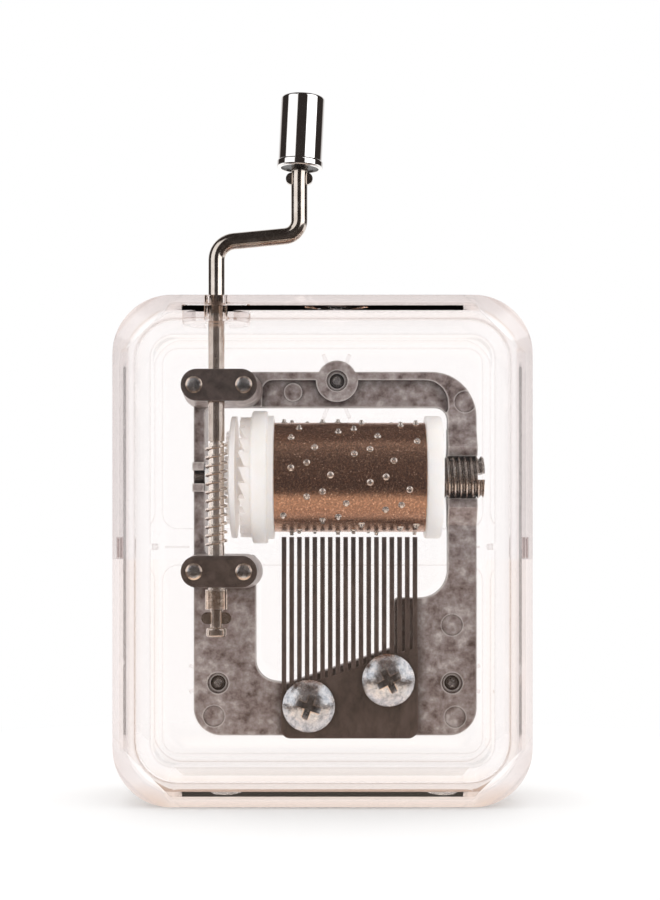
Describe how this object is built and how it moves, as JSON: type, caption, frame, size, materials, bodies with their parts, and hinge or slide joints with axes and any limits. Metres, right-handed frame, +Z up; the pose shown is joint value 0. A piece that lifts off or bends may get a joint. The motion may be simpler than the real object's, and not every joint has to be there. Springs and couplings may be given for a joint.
{
  "type": "hand crank music box",
  "caption": "Clear case holding a comb-and-cylinder movement, turned by a bent wire crank with a spinning metal knob on top.",
  "frame": {"origin": "bottom centre of the clear case, on the surface it stands on, with the crank at rest", "axes": "+Z up along the crank's axis, -Y towards the viewer of the front face, +X to the viewer's right"},
  "size_m": [0.0524, 0.022, 0.0897],
  "materials": {
    "clear_plastic": "clear moulded polystyrene, polished, faint warm tint at the edges",
    "cast_zinc": "as-cast zinc alloy, mottled grey, satin",
    "blackened_steel": "blackened steel strip, satin",
    "comb_steel": "hardened spring steel, dark, lightly ground",
    "zinc_plated_steel": "bright zinc plate",
    "plain_steel": "turned steel, bright",
    "spring_steel": "drawn spring wire and strip",
    "pin_steel": "fine bright steel pins",
    "nickel_plated_steel": "nickel-plated wire, bright",
    "chrome": "bright chrome plate",
    "worm_brass": "plated brass, bright",
    "brass": "rolled brass tube, darkened",
    "lead": "soft grey lead",
    "white_plastic": "natural white acetal, slightly translucent",
    "dark_plastic": "black moulded plastic"
  },
  "bodies": {
    "case": {"front_shell": "clear_plastic", "back_shell": "clear_plastic", "case_screws": "zinc_plated_steel", "movement_frame": "cast_zinc", "upper_strap": "blackened_steel", "lower_strap": "blackened_steel", "strap_rivets": "zinc_plated_steel", "comb": "comb_steel", "comb_weights": "lead", "comb_dampers": "spring_steel", "comb_screws": "zinc_plated_steel", "bearing_stud": "plain_steel", "thrust_washer": "plain_steel"},
    "crank": {"crank_rod": "nickel_plated_steel", "worm": "worm_brass"},
    "cylinder": {"cylinder_arbor": "plain_steel", "worm_wheel": "white_plastic", "ratchet_hub": "white_plastic", "cylinder_sleeve": "brass", "cylinder_pins": "pin_steel", "right_end_cap": "white_plastic", "clutch_spring": "spring_steel", "spring_retainer": "spring_steel"},
    "knob": {"knob_shell": "chrome", "knob_bush": "dark_plastic"}
  },
  "joints": [
    {"name": "crank_turn", "type": "hinge", "parent": "case", "child": "crank", "pos_m": [-0.01345, -0.0056, 0.0711], "axis": [0, 0, 1], "continuous": true},
    {"name": "cylinder_turn", "type": "hinge", "parent": "case", "child": "cylinder", "pos_m": [0, 0, 0.04157], "axis": [1, 0, 0], "continuous": true},
    {"name": "knob_spin", "type": "hinge", "parent": "crank", "child": "knob", "pos_m": [-0.00295, -0.0056, 0.0793], "axis": [0.0489, 0, 0.9988], "continuous": true}
  ],
  "couplings": [
    {"joint": "cylinder_turn", "follows": "crank_turn", "ratio": 0.03125}
  ]
}
